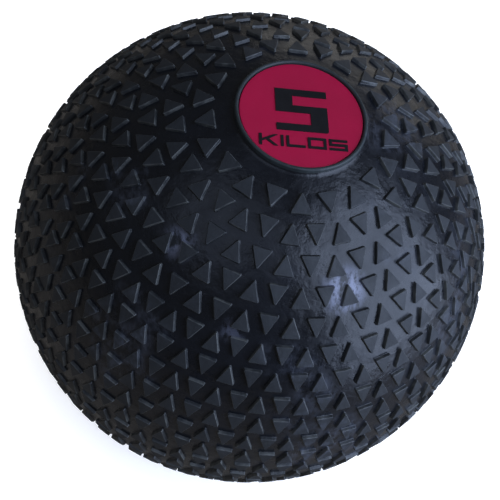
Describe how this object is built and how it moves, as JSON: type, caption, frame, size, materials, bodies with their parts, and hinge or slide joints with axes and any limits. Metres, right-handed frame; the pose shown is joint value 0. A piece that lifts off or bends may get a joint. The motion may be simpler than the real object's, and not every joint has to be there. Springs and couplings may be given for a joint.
{
  "type": "medicine ball",
  "caption": "Dead-blow medicine ball: black rubber shell with a triangular block tread, raised round badge with a weight figure, filling plug and loose sand inside.",
  "frame": {"origin": "centre of the ball", "axes": "+Z from the filling plug to the badge along the tread's axis, +Y towards the top of the weight figure"},
  "size_m": [0.23, 0.23, 0.2262],
  "materials": {
    "shell_rubber": "satin",
    "label_crimson": "matte",
    "print_black": "matte",
    "plug_rubber": "matte",
    "sand": "matte"
  },
  "bodies": {
    "shell": {"outer_shell": "shell_rubber", "label_disc": "label_crimson", "weight_figure": "print_black", "unit_mark": "print_black", "filler_plug": "plug_rubber"},
    "fill": {"sand_fill": "sand"}
  },
  "joints": [
    {"name": "sand_roll", "type": "hinge", "parent": "shell", "child": "fill", "pos_m": [0, 0, 0], "axis": [1, 0, 0], "continuous": true}
  ]
}
